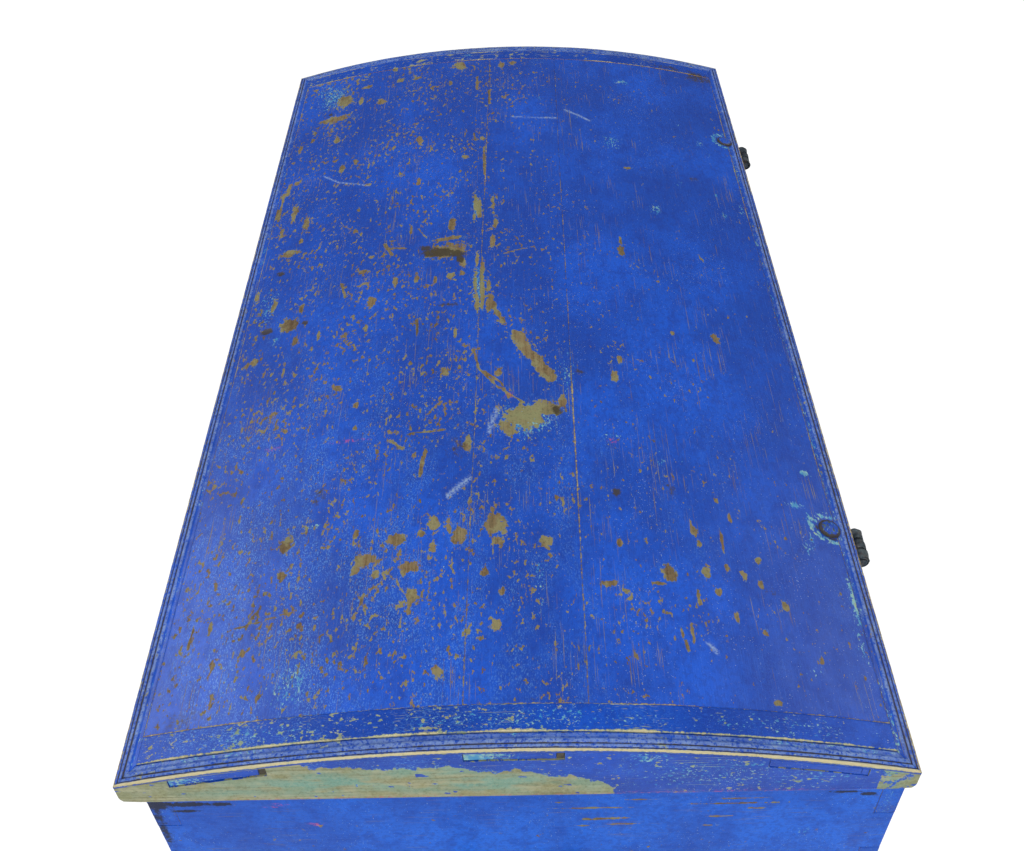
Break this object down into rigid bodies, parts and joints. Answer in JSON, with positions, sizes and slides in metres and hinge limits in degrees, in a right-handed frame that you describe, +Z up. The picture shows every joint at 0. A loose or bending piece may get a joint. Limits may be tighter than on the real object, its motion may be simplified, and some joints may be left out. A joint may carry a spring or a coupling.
{
  "type": "dome-top trunk",
  "caption": "Painted pine trunk with a shallow domed coopered lid on iron hinges, a key lock, an inner till and iron drop handles; it stores papers and keepsakes.",
  "frame": {"origin": "on the floor, under the middle of the lid", "axes": "+Z up, +X along the trunk's length, the lock is at -Y and the hinges at +Y"},
  "size_m": [1.207, 0.6866, 0.56],
  "materials": {
    "blue_painted_pine": "worn ultramarine oil paint over older turquoise paint and bare pine",
    "bare_pine": "unpainted aged pine",
    "dark_wood": "dark hardwood wedge",
    "dark_iron": "forged iron, aged dark",
    "painted_rivet": "iron rivet under worn paint"
  },
  "bodies": {
    "carcass": {"front_board_upper": "blue_painted_pine", "front_board_lower": "blue_painted_pine", "back_board_upper": "blue_painted_pine", "back_board_lower": "blue_painted_pine", "end_board_right_upper": "blue_painted_pine", "end_board_right_lower": "blue_painted_pine", "end_board_left_upper": "blue_painted_pine", "end_board_left_lower": "blue_painted_pine", "floor_board_front": "bare_pine", "floor_board_middle": "bare_pine", "floor_board_back": "bare_pine", "plinth_front": "blue_painted_pine", "plinth_back": "blue_painted_pine", "plinth_right": "blue_painted_pine", "plinth_left": "blue_painted_pine", "till_front": "bare_pine", "till_bottom": "bare_pine", "body_hinge_leaf_right": "dark_iron", "body_hinge_leaf_left": "dark_iron", "hinge_pin_right": "dark_iron", "hinge_pin_left": "dark_iron", "hinge_leaf_nails": "dark_iron", "lock_case": "dark_iron", "lock_nails": "dark_iron", "key_escutcheon": "dark_iron", "escutcheon_pins": "dark_iron", "handle_plate_right": "dark_iron", "handle_plate_left": "dark_iron", "handle_eyes_right": "dark_iron", "handle_eyes_left": "dark_iron", "floor_nails": "dark_iron"},
    "lid": {"lid_plank_front": "blue_painted_pine", "lid_plank_centre": "blue_painted_pine", "lid_plank_back": "blue_painted_pine", "lid_end_clamp_right": "blue_painted_pine", "lid_end_clamp_left": "blue_painted_pine", "lid_moulding_front": "blue_painted_pine", "lid_moulding_back": "blue_painted_pine", "lid_moulding_right": "blue_painted_pine", "lid_moulding_left": "blue_painted_pine", "lid_tenon_wedges": "dark_wood", "lid_hinge_strap_right": "dark_iron", "lid_hinge_strap_left": "dark_iron", "hinge_rivets": "painted_rivet", "lid_strap_nails": "dark_iron", "lid_staple": "dark_iron"},
    "till_lid": {"till_lid": "bare_pine"},
    "handle_right": {"handle_bail_right": "dark_iron"},
    "handle_left": {"handle_bail_left": "dark_iron"},
    "key": {"key": "dark_iron"},
    "lock_bolt": {"lock_bolt": "dark_iron"}
  },
  "joints": [
    {"name": "lid_hinge", "type": "hinge", "parent": "carcass", "child": "lid", "pos_m": [0, 0.331, 0.488], "axis": [-1, 0, 0], "range_deg": [0, 100]},
    {"name": "till_lid_hinge", "type": "hinge", "parent": "carcass", "child": "till_lid", "pos_m": [-0.552, 0, 0.3723], "axis": [0, -1, 0], "range_deg": [0, 92]},
    {"name": "handle_right_swing", "type": "hinge", "parent": "carcass", "child": "handle_right", "pos_m": [0.5945, 0, 0.323], "axis": [0, -1, 0], "range_deg": [0, 100]},
    {"name": "handle_left_swing", "type": "hinge", "parent": "carcass", "child": "handle_left", "pos_m": [-0.5945, 0, 0.323], "axis": [0, 1, 0], "range_deg": [0, 100]},
    {"name": "key_turn", "type": "hinge", "parent": "carcass", "child": "key", "pos_m": [0, -0.32, 0.443], "axis": [0, 1, 0], "range_deg": [0, 180]},
    {"name": "bolt_slide", "type": "slide", "parent": "carcass", "child": "lock_bolt", "axis": [1, 0, 0], "range_m": [0, 0.012]}
  ],
  "couplings": [
    {"joint": "bolt_slide", "follows": "key_turn", "m_per_rad": 0.0038197}
  ]
}
